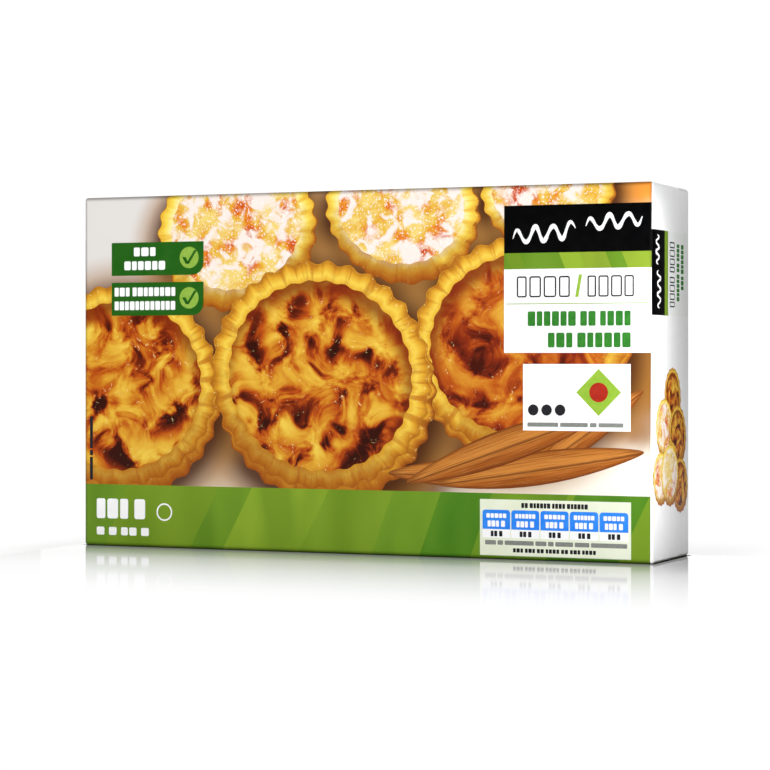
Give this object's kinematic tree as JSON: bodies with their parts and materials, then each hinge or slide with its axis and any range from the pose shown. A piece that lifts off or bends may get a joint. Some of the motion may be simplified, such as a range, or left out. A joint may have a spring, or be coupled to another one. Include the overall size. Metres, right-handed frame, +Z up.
{
  "type": "folding carton of custard tarts",
  "caption": "Shut rectangular carton of printed coated board for chilled tarts, standing on its long narrow side, with glued outer end flaps and a lapped seam along the back.",
  "frame": {"origin": "middle of the base on which the carton stands", "axes": "+X along the long side of the front panel, towards the end shown in the picture; the front panel faces -Y; +Z up"},
  "size_m": [0.231, 0.0452, 0.135],
  "materials": {
    "printed_board": "gloss",
    "green_ink": "gloss",
    "picture_ink": "gloss",
    "label_ink": "gloss"
  },
  "bodies": {
    "root": {"carton": "printed_board"}
  },
  "joints": []
}
